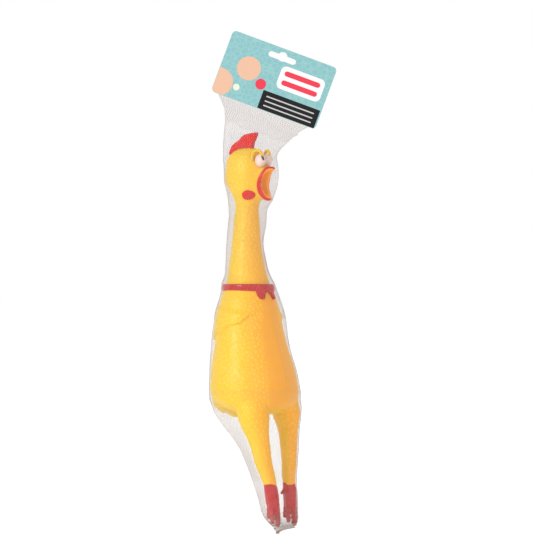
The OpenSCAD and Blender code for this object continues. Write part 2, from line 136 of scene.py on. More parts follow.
def capsule(x, y, z, a, b, ra, rb):
    a, b = np.asarray(a, float), np.asarray(b, float)
    d = b - a
    t = np.clip(((x - a[0]) * d[0] + (y - a[1]) * d[1] + (z - a[2]) * d[2]) / (d @ d), 0, 1)
    return np.sqrt((x - a[0] - t * d[0]) ** 2 + (y - a[1] - t * d[1]) ** 2 + (z - a[2] - t * d[2]) ** 2) - (ra + (rb - ra) * t)


# ------------------------------------------------------------------ the mouth's rim
# [forward, left, height], upper tip to lower tip on the chicken's right, mirrored for its left
RIM = np.array([[30.4, 0, -114.8], [28.8, -3.0, -113.8], [25.8, -5.6, -114.8], [22.6, -7.5, -118.8], [19.4, -8.6, -126.2],
                [18.7, -8.4, -133.6], [21.2, -6.4, -140.4], [24.2, -3.1, -144.2], [25.8, 0, -145.0]])
RIM = np.vstack([RIM, RIM[-2:0:-1] * [1, -1, 1]])
MC = np.array([23.5, 0, -129.5])


def closed_spline(P, n):
    """Points along a closed Catmull-Rom curve through P."""
    m = len(P)
    t = np.arange(n) * m / n
    i, f = np.floor(t).astype(int), (t % 1)[:, None]
    a, b, c, d = P[(i - 1) % m], P[i % m], P[(i + 1) % m], P[(i + 2) % m]
    return 0.5 * (2 * b + (c - a) * f + (2 * a - 5 * b + 4 * c - d) * f**2 + (3 * b - a - 3 * c + d) * f**3)


RIMC = closed_spline(RIM, 120)
_ra = np.arctan2(RIMC[:, 1], RIMC[:, 2] - MC[2])
_o = np.argsort(_ra)
_ra, _rc = _ra[_o], RIMC[_o]
_ra = np.r_[_ra - 2 * math.pi, _ra, _ra + 2 * math.pi]
_rf = np.tile(_rc[:, 0], 3)
_rr = np.tile(np.hypot(_rc[:, 1], _rc[:, 2] - MC[2]), 3)


def rim_at(u, z):
    """The rim's forward place and its distance from the mouth's axis, in the direction of (u, z)."""
    a = np.arctan2(u, z - MC[2])
    return np.interp(a, _ra, _rf), np.interp(a, _ra, _rr)


# ------------------------------------------------------------------ the moulded skin
def wing_height(f, u, z, d, side):
    """The folded wing, a raised pad with three feather lobes along its lower edge."""
    fc, a, b = TF[0](d), TF[1](d), TF[2](d)
    t = np.degrees(np.arctan2((f - fc) / b, side * u / a))  # 0 at the side, 90 at the front, -90 at the back
    s = np.clip((t + 62) / 116, 0, 1)  # 0 at the back edge, 1 at the wing's front tip
    top = 251 + 10 * s
    low = 292 - 27 * s**1.3 + 1.3 * np.sin(s * 6 * math.pi)
    e = np.minimum(np.minimum((d - top) / 7.0, (low - d) / 3.4), np.minimum((t + 64) / 9.0, (57 - t) / 8.0))
    h = 2.3 * step(0, 1, e)
    g = sum(0.6 * np.exp(-(((low - d) - k) / 1.0) ** 2) for k in (6, 12)) * (e > 1)
    return np.where(side * u > 0, h - g * step(0, 1, e), 0)


def skin_slice(x, y, z):
    d = -z
    f, u = to_local(x, y, BYAW)
    fh, uh = to_local(x, y, HYAW)
    out = np.full(x.shape, 60.0)
    if d < 178:
        fc, a, b = (float(q(d)) for q in HF)
        v = ell(fh, uh, fc, a, b)
        if d < 96:
            v = np.maximum(v, (92.6 - d))
        if d > 150:
            v = v + (d - 150) * 0.6
        out = np.minimum(out, v)
    if 142 < d < 249:
        fc, a, b = (float(q(d)) for q in NF)
        v = ell(f, u, fc, a, b)
        if d < 152:
            v = v + (152 - d) * 0.6
        if d > 240:
            v = v + (d - 240) * 0.6
        out = smin(out, v, 3.0)
    if 233 < d < 367:
        fc, a, b = (float(q(d)) for q in TF)
        v = ell(f, u, fc, a, b)
        if d < 240:
            v = v + (240 - d) * 0.6
        if 246 < d < 300:
            v = v - wing_height(f, u, z, d, 1) - wing_height(f, u, z, d, -1)
        # the breast bone, a soft fold down the belly
        if 250 < d < 356:
            v = v - 0.9 * step(250, 300, d) * (1 - step(325, 352, d)) * np.exp(-((u / 5.0) ** 2)) * (f > fc)
        out = smin(out, v, 2.0)
    if 335 < d < 447:
        for side in (-1, 1):
            fc, uc, M, m = (float(q(d)) for q in LF)
            c, s = math.cos(BYAW), math.sin(BYAW)
            df, du = f - fc, side * u - uc
            p, q = df * s + -du * c, -df * c - du * s
            v = ell(p, q, 0, m, M)
            if d < 352:
                v = v + (352 - d) * 0.9
            if d > 440:
                v = v + (d - 440) * 0.8
            out = smin(out, v, 0.5 + 6.5 * min(1.0, max(0.0, (d - 345) / 27)) if d < 395 else 0.5)
    # the tail, a blunt rounded rump
    if 330 < d < 382:
        v = capsule(f, u, z, (-17, 0, -344), (-30.5, 0, -358), 14, 8.6)
        v = smin(v, capsule(f, u, z, (-6, 0, -350), (-15.5, 0, -360), 14, 10.6), 4.0)
        v = smin(v, capsule(f, u, z, (-20, -13, -352), (-20, 13, -352), 12.2, 12.2), 5.0)
        out = smin(out, v, 7.0)
    # face
    if 96 < d < 158:
        rf, rr = rim_at(uh, z)
        rad = np.hypot(uh, z - MC[2])
        k = np.clip((fh - 4) / (rf - 4), 0, 1.3)
        R = rr + 0.3 + (1 - k) * 2.2
        v = smax(rad - R, fh - rf - 0.2, 1.2)
        v = smax(v, 4 - fh, 3)
        out = smin(out, v, 5.0)
        k = np.clip((fh - 11) / (rf - 11), 0, 1.6)
        cav = smax(rad - (6.0 + (rr - 1.5 - 6.0) * k**0.55), 11 - fh, 1.0)
        out = smax(out, -cav, 0.8)
    if 92 < d < 116:
        for side in (-1, 1):
            ec = (19.3, side * 7.2, -106.3)
            pts = [(np.cos(a) * 7.6, np.sin(a) * 7.4) for a in np.radians([-15, 15, 45, 75, 105, 135, 165, 195])]
            br = 60.0
            for (p0, q0), (p1, q1) in zip(pts[:-1], pts[1:]):
                def place(p, q):
                    return (ec[0] - 1.6 + p * 0.62, ec[1] + side * (3.2 - p * 0.36), ec[2] + 3.7 + q)
                br = np.minimum(br, capsule(fh, uh, z, place(p0, q0), place(p1, q1), 1.6, 1.6))
            out = smin(out, br, 1.6)
    return out


def mesh_sdf(fn, lo, hi, h):
    """The zero surface of fn, evaluated a height at a time, as points and quads."""
    nx, ny, nz = (int(math.ceil((b - a) / h)) + 1 for a, b in zip(lo, hi))
    x, y = np.meshgrid(lo[0] + h * np.arange(nx), lo[1] + h * np.arange(ny), indexing="ij")
    A = np.empty((nx, ny, nz), np.float32)
    for k in range(nz):
        A[:, :, k] = fn(x, y, lo[2] + h * k)
    np.clip(A, -3 * h, 3 * h, out=A)
    A[0], A[-1], A[:, 0], A[:, -1], A[:, :, 0], A[:, :, -1] = (3 * h,) * 6
    grid = vdb.FloatGrid(3 * h)
    grid.copyFromArray(A, tolerance=1e-6)
    pts, quads = grid.convertToQuads(0.0)
    return pts.astype(float) * h + np.array(lo), quads.astype(int)


def vnormals(P, Q):
    n = np.cross(P[Q[:, 2]] - P[Q[:, 0]], P[Q[:, 3]] - P[Q[:, 1]])
    N = np.zeros_like(P)
    for k in range(Q.shape[1]):
        np.add.at(N, Q[:, k], n)
    return N / (np.linalg.norm(N, axis=1, keepdims=True) + 1e-12)


def relax(P, Q, n, w=0.5):
    """Laplacian smoothing along the quads' edges."""
    E = np.concatenate([Q[:, [0, 1]], Q[:, [1, 2]], Q[:, [2, 3]], Q[:, [3, 0]]])
    E = np.unique(np.sort(E, 1), axis=0)
    deg = np.bincount(E.ravel(), minlength=len(P))[:, None] + 1e-9
    for i in range(n):
        S = np.zeros_like(P)
        np.add.at(S, E[:, 0], P[E[:, 1]])
        np.add.at(S, E[:, 1], P[E[:, 0]])
        P = P + (w if i % 2 == 0 else -w * 0.96) * (S / deg - P)
    return P


H = 0.7
SP, SQ = mesh_sdf(skin_slice, (-84, -58, -449), (26, 62, -84), H)
SN = vnormals(SP, SQ)
F3 = np.array([math.sin(BYAW), -math.cos(BYAW), 0])
U3 = np.array([math.cos(BYAW), math.sin(BYAW), 0])
Z3 = np.array([0, 0, 1.0])
BELLY = np.array([320.0, 21.0, 9.0])  # depth of the pressed spot, and its outer and inner reach
TILT = math.radians(20.3)
CE = np.array([math.cos(TILT), 0, -math.sin(TILT)])
CT = np.array([math.sin(TILT), 0, math.cos(TILT)])
NQ = np.array([0.248, 0.969])  # the plane between head and neck leans, so that the chin stays with the head
NS = np.array([0.5, -0.8660254])


def spread_points(P, r, ok):
    """Points of P at least r apart, in a random order."""
    cells, keep = {}, []
    for i in rng.permutation(np.flatnonzero(ok)):
        p = P[i]
        c = (int(p[0] // r), int(p[1] // r), int(p[2] // r))
        if any(((p - q) ** 2).sum() < r * r for dx in (-1, 0, 1) for dy in (-1, 0, 1) for dz in (-1, 0, 1)
               for q in cells.get((c[0] + dx, c[1] + dy, c[2] + dz), ())):
            continue
        cells.setdefault(c, []).append(p)
        keep.append(i)
    return np.array(keep)


def smooth_belly(P):
    """0 on the smooth belly, 1 where the skin is pimpled."""
    f, u = to_local(P[:, 0], P[:, 1], BYAW)
    d = -P[:, 2]
    U = np.interp(d, [247, 249, 311, 345, 366], [7, 9, 20, 22, 18])
    front = step(-2, 4, f - TF[0](np.clip(d, 232, 366)))
    return 1 - front * (1 - step(-2.5, 2.5, np.abs(u) - U)) * step(243, 247, d) * (1 - step(352, 366, d))


def bump_mask(P):
    f, u = to_local(P[:, 0], P[:, 1], BYAW)
    fh, uh = to_local(P[:, 0], P[:, 1], HYAW)
    d = -P[:, 2]
    m = smooth_belly(P)
    rf, rr = rim_at(uh, P[:, 2])
    rad = np.hypot(uh, P[:, 2] - MC[2])
    m *= 1 - (1 - step(0.5, 5, rad - rr)) * step(2, 8, fh) * (d < 160)
    m *= 1 - step(8, 12, fh) * (1 - step(113, 117, d))
    m *= 1 - step(-2, 0, 5.5 - np.abs(d - 236.6)) * 1.0
    m *= 1 - step(431, 436, d)
    for s in (-1, 1):  # the wattle patches sit on smooth skin
        m *= step(0.8, 1.25, np.hypot((fh - 8.5) / 7.5, (P[:, 2] + 141.4) / 5.4) + 9 * (s * uh < 2))
    return m


mask = bump_mask(SP)
gap = 4.0
centres = SP[spread_points(SP, gap, (mask > 0.15) & (rng.random(len(SP)) < (0.3)))]
tree = KDTree(len(centres))
for i, c in enumerate(centres):
    tree.insert(c, i)
tree.balance()
near = np.array([tree.find(p)[2] for p in SP])
lift = np.clip(1 - (near / 1.75) ** 2, 0, 1) ** 2 * mask
BP = SP + SN * (0.5 * lift)[:, None]
BN = vnormals(BP, SQ)
print("skin", len(SP), "bumps", len(centres))


def lin(*c):
    """Linear colour from 8-bit sRGB."""
    c = np.asarray(c, float) / 255
    return np.where(c <= 0.04045, c / 12.92, ((c + 0.055) / 1.055) ** 2.4)


# Of these, the second colour is painted light for the skin's lit side and the third is painted shade for its shaded
# side; the first is the skin's own yellow.
YELLOW, PALE_LIT_SIDE, ORANGE_SHADED_SIDE, BELLYC = (w * lin(*c) for w, c in ((0.76, (255, 208, 24)), (0.76, (255, 224, 78)), (0.86, (255, 172, 16)), (0.86, (255, 170, 40))))


# The skin's colour at each point, with painted light and shade in it: paler where the skin faces back, deeper orange
# where it faces forward, lighter on the pimple tops.
def skin_colour_and_painted_light(P, N, lift):
    f, u = to_local(P[:, 0], P[:, 1], BYAW)
    d = -P[:, 2]
    nf = N @ F3
    c = np.repeat(YELLOW[None], len(P), 0)
    # painted light: skin that faces back is blended towards pale yellow
    w = step(-0.2, -0.95, nf)[:, None] * 0.75
    c = c * (1 - w) + PALE_LIT_SIDE * w
    # painted shade: skin that faces forward, and the chicken's left leg below the hip, is blended towards deeper
    # orange
    w = (step(0.35, 0.95, nf) * np.interp(d, [88, 150, 245, 300], [0.35, 0.7, 0.8, 0.8]) + 0.35 * ((u > 2) & (d > 362)))[:, None]
    w = np.clip(w, 0, 1)
    c = c * (1 - w) + ORANGE_SHADED_SIDE * w
    w = (1 - smooth_belly(P))[:, None] * 0.7
    c = c * (1 - w) + BELLYC * w
    # painted highlight: the pimple tops are blended towards a lighter yellow
    w = (lift * 0.55)[:, None]
    c = c * (1 - w) + 0.82 * lin(255, 226, 98) * w
    return c


tint = skin_colour_and_painted_light(SP, SN, lift)


# ------------------------------------------------------------------ building pieces
def principled(name, rgb, rough=0.4, coat=0.0, coat_rough=0.1, sss=0.0, alpha=1.0, sheen=0.0, spec=0.5, attribute=None, noise=None):
    m = bpy.data.materials.new(name)
    m.use_nodes = True
    nt = m.node_tree
    b = nt.nodes["Principled BSDF"]
    b.inputs["Base Color"].default_value = (*[float(v) for v in rgb], 1)
    b.inputs["Roughness"].default_value = rough
    b.inputs["Coat Weight"].default_value = coat
    b.inputs["Coat Roughness"].default_value = coat_rough
    b.inputs["Subsurface Weight"].default_value = sss
    b.inputs["Subsurface Radius"].default_value = (1.0, 0.55, 0.15)
    b.inputs["Subsurface Scale"].default_value = 0.003
    b.inputs["Alpha"].default_value = alpha
    b.inputs["Sheen Weight"].default_value = sheen
    b.inputs["Specular IOR Level"].default_value = spec
    colour = None
    if attribute:
        a = nt.nodes.new("ShaderNodeAttribute")
        a.attribute_name = attribute
        colour = a.outputs["Color"]
    if noise:  # (scale, amount): a slight mottling of the colour, and of the gloss
        tc = nt.nodes.new("ShaderNodeTexCoord")
        n = nt.nodes.new("ShaderNodeTexNoise")
        n.inputs["Scale"].default_value = noise[0]
        n.inputs["Detail"].default_value = 3
        nt.links.new(tc.outputs["Object"], n.inputs["Vector"])
        mr = nt.nodes.new("ShaderNodeMapRange")
        mr.inputs["To Min"].default_value, mr.inputs["To Max"].default_value = 1 - noise[1], 1 + noise[1] * 0.4
        nt.links.new(n.outputs["Fac"], mr.inputs["Value"])
        mx = nt.nodes.new("ShaderNodeVectorMath")
        mx.operation = "SCALE"
        if colour is not None:
            nt.links.new(colour, mx.inputs[0])
        else:
            mx.inputs[0].default_value = [float(v) for v in rgb]
        nt.links.new(mr.outputs["Result"], mx.inputs["Scale"])
        colour = mx.outputs["Vector"]
        m2 = nt.nodes.new("ShaderNodeMapRange")
        m2.inputs["To Min"].default_value, m2.inputs["To Max"].default_value = rough * 0.85, min(1, rough * 1.15)
        nt.links.new(n.outputs["Fac"], m2.inputs["Value"])
        nt.links.new(m2.outputs["Result"], b.inputs["Roughness"])
    if colour is not None:
        nt.links.new(colour, b.inputs["Base Color"])
    return m


def build(name, P, Q, mat, N=None, tint=None):
    """A mesh object from points in millimetres in the row frame and an array of triangles or quads."""
    me = bpy.data.meshes.new(name)
    Q = np.asarray(Q)
    n, k = Q.shape
    me.vertices.add(len(P))
    me.vertices.foreach_set("co", (np.asarray(P, float) * 0.001).astype(np.float32).ravel())
    me.loops.add(n * k)
    me.loops.foreach_set("vertex_index", Q.ravel().astype(np.int32))
    me.polygons.add(n)
    me.polygons.foreach_set("loop_start", (np.arange(n) * k).astype(np.int32))
    me.update(calc_edges=True)
    me.validate()
    me.shade_smooth()
    if N is not None:
        me.normals_split_custom_set_from_vertices(N.tolist())
    if tint is not None:
        a = me.attributes.new("tint", "FLOAT_COLOR", "POINT")
        a.data.foreach_set("color", np.c_[tint, np.ones(len(tint))].astype(np.float32).ravel())
    me.materials.append(mat)
    ob = bpy.data.objects.new(name, me)
    scene.collection.objects.link(ob)
    return ob


def part_of(Q, keep, *arrays):
    """The faces in keep, with the point arrays cut down to match."""
    q = Q[keep]
    ids, inv = np.unique(q, return_inverse=True)
    return inv.reshape(q.shape), [a[ids] for a in arrays]


def grid_faces(rows, cols, wrap=True, flip=False):
    i, j = np.meshgrid(np.arange(rows - 1), np.arange(cols if wrap else cols - 1), indexing="ij")
    a, b = i * cols + j, i * cols + (j + 1) % cols
    q = np.stack([a, b, b + cols, a + cols], -1).reshape(-1, 4)
    return q[:, ::-1] if flip else q


def fan(q, ring, centre, flip=False):
    """Triangles, as an array, closing a ring of point numbers to a centre point."""
    r = np.asarray(ring)
    t = np.stack([r, np.roll(r, -1), np.full(len(r), centre)], -1)
    return t[:, ::-1] if flip else t


V = lambda p: tuple(float(v) * 0.001 for v in p)
ZONES = [("head", None), ("jaw_neck", ("head", "upper_neck")), ("neck_upper", None), ("neck_bend_upper", ("upper_neck", "lower_neck")),
         ("neck_lower", None), ("neck_base", ("lower_neck", "torso")), ("torso", None)]


def zone(C):
    """Which stretch of the body each point belongs to: 0 head to 6 torso, 7 hip, 8 leg, 9 ankle, 10 foot."""
    f, u = to_local(C[:, 0], C[:, 1], BYAW)
    z = C[:, 2]
    q = NQ[0] * f + NQ[1] * z
    s = NS[0] * f + NS[1] * z
    k = np.zeros(len(C), int)
    k[q < -138.9] = 1
    k[q < -161] = 2
    k[(z < -178)] = 3
    k[(z < -204.5)] = 4
    k[(z < -213)] = 5
    k[(z < -233.5)] = 6
    k[(z < -300) & (s > 322)] = 7
    k[(z < -300) & (s > 352)] = 8
    k[z < -420] = 9
    k[z < -434] = 10
    return k


def attach(ob, k, side=-1):
    """Ties a piece of zone k to its CAD body; a piece of a zone over a joint is left in place, with its transform
    baked in.
    """
    leg, foot = ("right_leg", "right_foot") if side < 0 else ("left_leg", "left_foot")
    if k in (0, 2, 4, 6, 8, 10):
        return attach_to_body(ob, {0: "head", 2: "upper_neck", 4: "lower_neck", 6: "torso", 8: leg, 10: foot}[k])
    if k == 1:
        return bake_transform(ob)
    if k == 3:
        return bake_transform(ob)
    if k == 5:
        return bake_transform(ob)
    if k == 7:
        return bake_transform(ob)
    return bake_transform(ob)


M_SKIN = principled("vinyl_yellow", YELLOW, rough=0.42, coat=0.1, coat_rough=0.25, spec=0.3, attribute="tint", noise=(60, 0.06))
M_RED = principled("vinyl_red", 0.74 * lin(235, 4, 12), rough=0.3, coat=0.1, coat_rough=0.12, spec=0.2, noise=(140, 0.12))
M_CRIM = principled("vinyl_crimson", 0.74 * lin(205, 4, 26), rough=0.28, coat=0.22, coat_rough=0.1, spec=0.3, noise=(140, 0.15))
M_MOUTH = principled("vinyl_orange", 0.95 * lin(255, 160, 12), rough=0.3, coat=0.3, coat_rough=0.12, spec=0.3, noise=(160, 0.12))
M_EYE = principled("eye_white", 0.78 * lin(250, 222, 210), rough=0.35, coat=0.2, spec=0.3, noise=(50, 0.04))
M_PUPIL = principled("pupil_black", lin(14, 12, 12), rough=0.25, coat=0.5)
M_PLASTIC = principled("white_plastic_moulded", lin(232, 232, 226), rough=0.35, noise=(200, 0.05))
M_REED = principled("reed_film_clear", lin(222, 212, 180), rough=0.3)

SC = SP[SQ].mean(1)
SZ = zone(SC)
SU = to_local(SC[:, 0], SC[:, 1], BYAW)[1]
SF = to_local(SC[:, 0], SC[:, 1], BYAW)[0]
octs = [math.radians(45 * k) for k in range(8)]
rho = np.max([SU * math.cos(a) + (SC[:, 2] + BELLY[0]) * math.sin(a) for a in octs], 0)
is_belly = (SZ == 6) & (SF > 12) & (rho < BELLY[1] + 1.0)
skin = {}


def skin_piece(name, keep, k, side=-1):
    q, (p, n, t) = part_of(SQ, keep, BP, BN, tint)
    ob = build(name, p, q, M_SKIN, n, t)
    attach(ob, k, side)
    skin[name] = ob
    return ob


for k, (name, _) in enumerate(ZONES):
    skin_piece("skin_" + name, (SZ == k) & ~is_belly, k)
for side, word in ((-1, "right"), (1, "left")):
    on = SU * side > 0
    for k, name in ((7, "hip"), (8, "leg"), (9, "ankle"), (10, "shin_end")):
        skin_piece(f"skin_{name}_{word}", (SZ == k) & on, k, side)

# the belly's pressed spot: the middle follows the panel, and eight sectors round it are left in place
q, (p, n, t) = part_of(SQ, is_belly, BP, BN, tint)
patch = build("belly_work", p, q, M_SKIN, None, t)
na = patch.data.attributes.new("nrm", "FLOAT_VECTOR", "POINT")
na.data.foreach_set("vector", n.astype(np.float32).ravel())
bm = bmesh.new()
bm.from_mesh(patch.data)
centre = np.array([X0, Y0, -BELLY[0]])
for k in range(4):
    a = math.radians(22.5 + 45 * k)
    d3 = -math.sin(a) * U3 + math.cos(a) * Z3
    bmesh.ops.bisect_plane(bm, geom=bm.verts[:] + bm.edges[:] + bm.faces[:], plane_co=V(centre), plane_no=Vector(d3), dist=1e-7)
bmesh.ops.triangulate(bm, faces=bm.faces[:])
bm.to_mesh(patch.data)
bm.free()
me = patch.data
P = np.zeros(len(me.vertices) * 3, np.float32)
me.vertices.foreach_get("co", P)
P = P.reshape(-1, 3).astype(float) * 1000
N = np.zeros(len(me.vertices) * 3, np.float32)
me.attributes["nrm"].data.foreach_get("vector", N)
N = N.reshape(-1, 3).astype(float)
N /= np.linalg.norm(N, axis=1, keepdims=True) + 1e-9
T = np.zeros(len(me.vertices) * 4, np.float32)
me.attributes["tint"].data.foreach_get("color", T)
T = T.reshape(-1, 4)[:, :3]
Q = np.zeros(len(me.polygons) * 3, np.int32)
me.polygons.foreach_get("vertices", Q)
Q = Q.reshape(-1, 3)
bpy.data.objects.remove(patch)
C = P[Q].mean(1)
cu = to_local(C[:, 0], C[:, 1], BYAW)[1]
cz = C[:, 2] + BELLY[0]
ro = np.array([cu * math.cos(a) + cz * math.sin(a) for a in octs])
who = ro.argmax(0)
rim_of = ro.max(0)
inner = rim_of < BELLY[2]
q, (p, n, t) = part_of(Q, inner, P, N, T)
belly = build("belly_spot", p, q, M_SKIN, n, t)
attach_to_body(belly, "belly")
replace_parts(belly, "belly_panel")
for k, a in enumerate(octs):
    d3 = math.cos(a) * U3 + math.sin(a) * Z3
    q, (p, n, t) = part_of(Q, (who == k) & ~inner, P, N, T)
    ob = build(f"belly_sector_{k}", p, q, M_SKIN, n, t)
    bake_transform(ob)

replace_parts(skin["skin_head"], "head_shell", "brow_ridges")
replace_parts(skin["skin_neck_upper"], "neck_upper")
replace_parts(skin["skin_neck_lower"], "neck_lower")
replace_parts(skin["skin_torso"], "torso_shell", "wing_right", "wing_left", "tail")
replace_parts(skin["skin_leg_right"], "leg_right")
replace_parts(skin["skin_leg_left"], "leg_left")

# ------------------------------------------------------------------ face, comb and wattles
tree_skin = BVHTree.FromPolygons((BP * 0.001).tolist(), SQ.tolist())


def local_sdf(name, fn, lo, hi, h, mat, yaw, flip_u=1, smooth=2):
    """A piece from a distance field written in local forward, left, height millimetres."""
    p, q = mesh_sdf(fn, lo, hi, h)
    p = relax(p, q, smooth)
    if flip_u < 0:
        p = p * [1, -1, 1]
        q = q[:, ::-1]
    ob = build(name, W(p[:, 0], p[:, 1], p[:, 2], yaw), q, mat)
    return ob, p


def poly_dist(x, y, P):
    """Signed distance to a polygon, negative inside."""
    P = np.asarray(P, float)
    best = np.full(x.shape, 1e9)
    inside = np.zeros(x.shape, bool)
    for a, b in zip(P, np.roll(P, -1, 0)):
        e = b - a
        t = np.clip(((x - a[0]) * e[0] + (y - a[1]) * e[1]) / (e @ e), 0, 1)
        best = np.minimum(best, np.hypot(x - a[0] - t * e[0], y - a[1] - t * e[1]))
        if a[1] != b[1]:
            c = (a[1] > y) != (b[1] > y)
            inside ^= c & (x < (b[0] - a[0]) * (y - a[1]) / (b[1] - a[1]) + a[0])
    return np.where(inside, -best, best)


COMB = [[-21.5, -103], [-20.6, -96], [-17.8, -89.6], [-14.2, -86.6], [-10.2, -84.3], [-6.6, -80.6], [-2.7, -78], [2.5, -76.9], [8, -76.2],
        [11.6, -75.9], [13.2, -77.3], [12.6, -80], [10.6, -83.6], [8.4, -87.6], [7.5, -91], [7.4, -97], [-4, -99], [-13, -102]]


def comb_sdf(f, u, z):
    d2 = poly_dist(f, np.full_like(f, z), COMB) + 1.0
    t = 2.5 + 0.9 * step(-80, -98, np.full_like(f, z)) - 0.25 * np.cos((f * 0.9 - z * 0.35) * 2.6)
    return smax(d2, np.abs(u) - t, 1.6) - 0.35


comb, _ = local_sdf("comb_moulded", comb_sdf, (-25, -6, -106), (17, 6, -72), 0.45, M_RED, HYAW)
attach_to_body(comb, "head")
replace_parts(comb, "comb")


def oval_patch(name, side):
    """A raised red oval moulded on the cheek, laid on the skin."""
    R, C = 9, 40
    pts, ctr = [], np.array([8.5, side * 12.2, -141.4])
    out = np.array([0.545, side * 0.84, 0])
    e1 = np.array([0.84, -side * 0.545, 0])
    for i in range(R + 1):
        r = i / R
        for j in range(C):
            a = 2 * math.pi * j / C
            k = 1 + 0.05 * math.cos(2 * a + 0.8) + 0.04 * math.cos(3 * a)
            x, y = 7.0 * r * k * math.cos(a), 5.5 * r * k * math.sin(a)
            x, y = x * 0.99 - y * 0.12, x * 0.12 + y * 0.99
            l = ctr + e1 * x + [0, 0, y]
            src = l + out * 14
            w0, wd = W(*src, HYAW), W(*(src - out), HYAW) - W(*src, HYAW)
            hit, _, _, _ = tree_skin.ray_cast(Vector(V(w0)), Vector(wd), 0.04)
            base = np.array(hit) * 1000 if hit else W(*l, HYAW)
            rise = 1.25 * (1 - r**3.2) ** 0.5 - 0.35 * (r > 0.99) + 0.12 * math.cos(x * 2.4) * (1 - r)
            pts.append(base - wd * rise)
    q = grid_faces(R + 1, C)
    t = fan(None, np.arange(C), len(pts), True)
    pts = np.array(pts)
    pts[:C] = pts[:C].mean(0) + (pts[:C] - pts[:C].mean(0)) * 0
    ob = build(name, pts, q if side > 0 else q[:, ::-1], M_RED)
    attach(ob, 1)
    return ob


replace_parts(oval_patch("wattle_right", -1), "wattle_patches")
oval_patch("wattle_left", 1)

EYE = np.array([19.4, 6.8, -105.8])
EYEBALL = np.array([0.95, 0.95, 1.16])
for side, word in ((-1, "right"), (1, "left")):
    ec = EYE * [1, side, 1]
    R, C = 25, 40
    th = np.linspace(0, math.pi, R)[:, None]
    ph = np.linspace(0, 2 * math.pi, C, endpoint=False)[None]
    look = np.array([0.81, side * 0.44, 0.38])
    look /= np.linalg.norm(look)
    s1 = np.cross(look, [0, 0, 1.0])
    s1 /= np.linalg.norm(s1)
    s2 = np.cross(s1, look)
    sph = (np.cos(th)[..., None] * look + (np.sin(th) * np.cos(ph))[..., None] * s1 + (np.sin(th) * np.sin(ph))[..., None] * s2).reshape(-1, 3)
    p = ec + 6.0 * sph * EYEBALL
    ob = build("eye_" + word, W(p[:, 0], p[:, 1], p[:, 2], HYAW), grid_faces(R, C), M_EYE)
    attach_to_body(ob, "head")
    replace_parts(ob, "eyeballs")
    # the pupil, a thin domed oval leaning back
    R = 6
    r = np.linspace(0, 1, R)[:, None]
    tilt = math.radians(20) * side
    xx, yy = r * 1.85 * np.cos(ph), r * 3.1 * np.sin(ph)
    xx, yy = xx * math.cos(tilt) - yy * math.sin(tilt), xx * math.sin(tilt) + yy * math.cos(tilt)
    d3 = look + (xx[..., None] * s1 + yy[..., None] * s2) / 6.1
    d3 /= np.linalg.norm(d3, axis=-1, keepdims=True)
    p = (ec + d3 * EYEBALL * (6.0 + 0.16 * (1 - r[..., None] ** 4))).reshape(-1, 3)
    p[-len(ph[0]):] -= look * 0.1
    ob = build("pupil_" + word, W(p[:, 0], p[:, 1], p[:, 2], HYAW), grid_faces(R, C), M_PUPIL)
    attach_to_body(ob, "head")
    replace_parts(ob, "pupils")

# the lips: a red rolled rim outside, and the orange lining that runs from its crest into the mouth
n = 120
nx = np.roll(RIMC, -1, 0) - np.roll(RIMC, 1, 0)
nx /= np.linalg.norm(nx, axis=1, keepdims=True)
outw = RIMC - [0, 0, 0]
outw = np.stack([np.zeros(n), RIMC[:, 1], RIMC[:, 2] - MC[2]], 1)
outw -= nx * (outw * nx).sum(1, keepdims=True)
outw /= np.linalg.norm(outw, axis=1, keepdims=True)
fwd = np.cross(nx, outw)
fwd *= np.sign(fwd[:, :1])
ang = np.arctan2(RIMC[:, 1], RIMC[:, 2] - MC[2])
rad = 2.1 - 0.35 * np.cos(ang) + 0.12 * np.cos(5 * ang)
rings = []
for t in np.radians(np.linspace(2, -205, 20)):  # from the crest, round the outside, to the back
    rings.append(RIMC + rad[:, None] * (math.cos(t) * fwd - math.sin(t) * outw) * (1 + 0.05 * math.cos(3 * t)))
p = np.concatenate(rings)
lips = build("lips_rim", W(p[:, 0], p[:, 1], p[:, 2], HYAW), grid_faces(len(rings), n, flip=True), M_RED)
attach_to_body(lips, "head")
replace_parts(lips, "beak_lips")
rings = []
for t in np.radians(np.linspace(0, 95, 9)):
    rings.append(RIMC + rad[:, None] * (math.cos(t) * fwd - math.sin(t) * outw))
rf = RIMC[:, 0]
rr = np.hypot(RIMC[:, 1], RIMC[:, 2] - MC[2])
for k in np.linspace(0.9, 0.03, 22):
    R = 6 + (rr - 7.5) * k**0.55 - 0.75 + 0.22 * np.sin(ang * 14 + 3 * k) * step(0.03, 0.3, k)
    f = 11.4 + (rf - 11) * k
    rings.append(np.stack([f, R * np.sin(ang), MC[2] + R * np.cos(ang)], 1))
p = np.concatenate(rings)
mouth = build("mouth_inside", W(p[:, 0], p[:, 1], p[:, 2], HYAW), grid_faces(len(rings), n), M_MOUTH)
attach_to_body(mouth, "head")
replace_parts(mouth, "mouth_lining")

# ------------------------------------------------------------------ collar and bow
C, R = 160, 22
a = np.linspace(0, 2 * math.pi, C, endpoint=False)[None]
t = np.linspace(0, 2 * math.pi, R, endpoint=False)[:, None]
ct, st = np.sign(np.cos(t)) * np.abs(np.cos(t)) ** 0.6, np.sign(np.sin(t)) * np.abs(np.sin(t)) ** 0.6
g = 24.6 + 2.1 * ct + 0.1 * np.cos(a * 40) * (ct > 0)
p = np.stack([0.9 + (g - 0.2) * np.sin(a), (g + 0.2) * np.cos(a), -236.7 + 4.0 * st + 0 * a], -1).reshape(-1, 3)
q = grid_faces(R, C)
q = np.concatenate([q, grid_faces(2, C) % C + np.where(grid_faces(2, C) < C, (R - 1) * C, 0)])
collar = build("collar_moulded", W(p[:, 0], p[:, 1], p[:, 2]), q, M_CRIM)
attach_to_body(collar, "torso")
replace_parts(collar, "collar_band")
BOWL = [[1.6, 2.0], [5, 3.6], [11.8, 4.6], [13.4, 0], [13.2, -6.0], [11.4, -9.6], [7.6, -10.6], [5.4, -7.0], [3.8, -4.2], [1.6, -2.6]]


